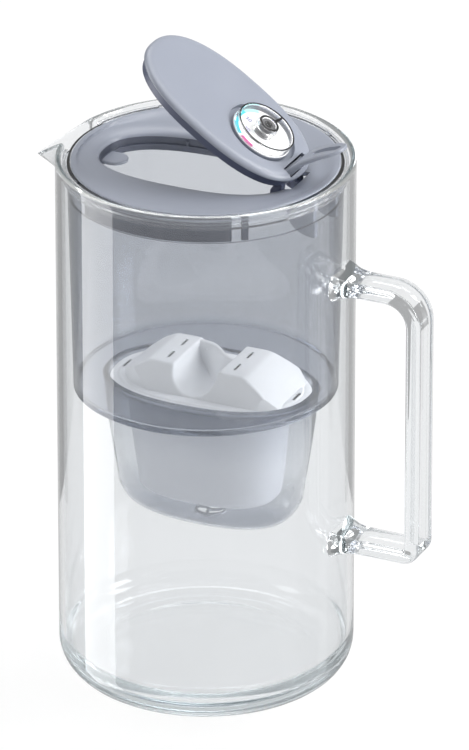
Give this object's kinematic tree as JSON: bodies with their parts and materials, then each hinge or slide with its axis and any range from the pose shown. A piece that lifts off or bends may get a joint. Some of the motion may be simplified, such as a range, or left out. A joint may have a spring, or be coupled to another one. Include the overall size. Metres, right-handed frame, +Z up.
{
  "type": "water filter pitcher",
  "caption": "Glass jug with side handle and beak, lift-out filter hopper with oval cartridge, dished lid ring and thumb-lever flip lid with a reminder dial.",
  "frame": {"origin": "centre of the flat foot of the glass body, on the surface it stands on", "axes": "+Z up along the jug's axis, +X towards the handle, -X towards the spout"},
  "size_m": [0.1948, 0.136, 0.3077],
  "materials": {
    "glass": "clear polished",
    "hopper_tint": "translucent smoky",
    "cup_tint": "translucent smoky",
    "white_plastic": "satin",
    "clear_seal": "clear silicone",
    "mesh": "fine mesh",
    "carbon": "granules",
    "slate_plastic": "satin",
    "slate_dark": "satin",
    "dial_white": "printed",
    "clear_plastic": "clear moulded",
    "black_print": "printed",
    "steel": "ground"
  },
  "bodies": {
    "jug": {"glass_base": "glass", "glass_wall": "glass", "glass_rim": "glass", "spout": "glass", "handle": "glass"},
    "hopper_unit": {"hopper": "hopper_tint", "hopper_cup": "cup_tint", "outlet_grille": "white_plastic", "seal_ring": "clear_seal"},
    "cartridge": {"cartridge_shell": "white_plastic", "cartridge_cap": "white_plastic", "upper_mesh": "mesh", "filter_media": "carbon", "lower_mesh": "mesh"},
    "ring": {"lid_ring": "slate_plastic", "mouth_collar": "slate_plastic", "skirt_far": "slate_plastic", "skirt_near": "slate_plastic", "cheek_far": "slate_plastic", "cheek_near": "slate_plastic", "hinge_pin": "steel"},
    "lid": {"lid_shell": "slate_plastic", "lid_liner": "slate_dark", "thumb_lever": "slate_plastic", "dial_seat": "slate_plastic", "dial_card": "dial_white"},
    "dial": {"dial_knob": "clear_plastic", "knob_rim_ring": "black_print", "knob_grip_ring": "black_print", "knob_pointer": "black_print", "knob_retainer": "steel"}
  },
  "joints": [
    {"name": "hopper_lift", "type": "slide", "parent": "jug", "child": "hopper_unit", "axis": [0, 0, 1], "range_m": [0, 0.185]},
    {"name": "cartridge_lift", "type": "slide", "parent": "hopper_unit", "child": "cartridge", "axis": [0, 0, 1], "range_m": [0, 0.06]},
    {"name": "ring_lift", "type": "slide", "parent": "hopper_unit", "child": "ring", "axis": [0, 0, 1], "range_m": [0, 0.04]},
    {"name": "lid_hinge", "type": "hinge", "parent": "ring", "child": "lid", "pos_m": [0.0485, 0, 0.2445], "axis": [0, 1, 0], "range_deg": [-34.5, 31.5]},
    {"name": "dial_turn", "type": "hinge", "parent": "lid", "child": "dial", "pos_m": [0.0279, 0, 0.27261], "axis": [0.5664, 0, 0.8241], "continuous": true}
  ]
}
